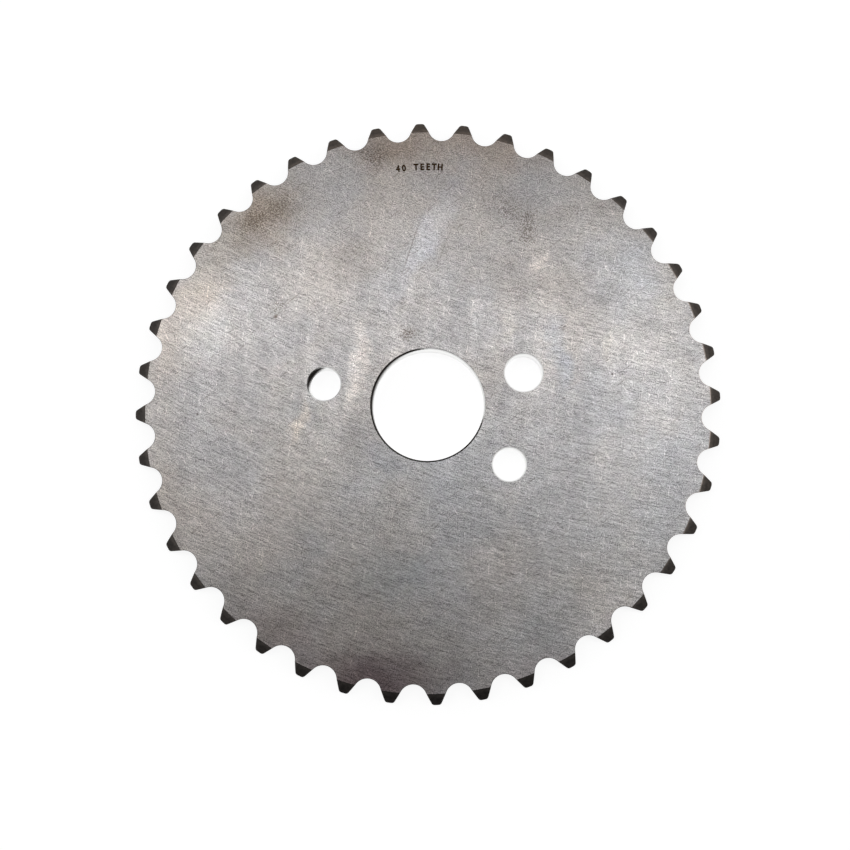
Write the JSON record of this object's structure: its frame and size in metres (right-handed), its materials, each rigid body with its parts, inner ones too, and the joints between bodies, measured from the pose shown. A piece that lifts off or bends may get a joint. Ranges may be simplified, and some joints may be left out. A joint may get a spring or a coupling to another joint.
{
  "type": "camshaft gear",
  "caption": "Flat steel camshaft gear for a timing chain, with bevelled teeth, a plain central bore and bolt and timing holes for its flange.",
  "frame": {"origin": "centre of the bore on the gear's back face, which lies on the surface", "axes": "+Z along the bore towards the front face, +X and +Y across the plate, with the gear lying flat"},
  "size_m": [0.1248, 0.1248, 0.0043],
  "materials": {
    "ground_steel": "ground steel plate with fine crossing scratches, handling stains and darker tooth bevels"
  },
  "bodies": {
    "root": {"camshaft_gear": "ground_steel"}
  },
  "joints": []
}
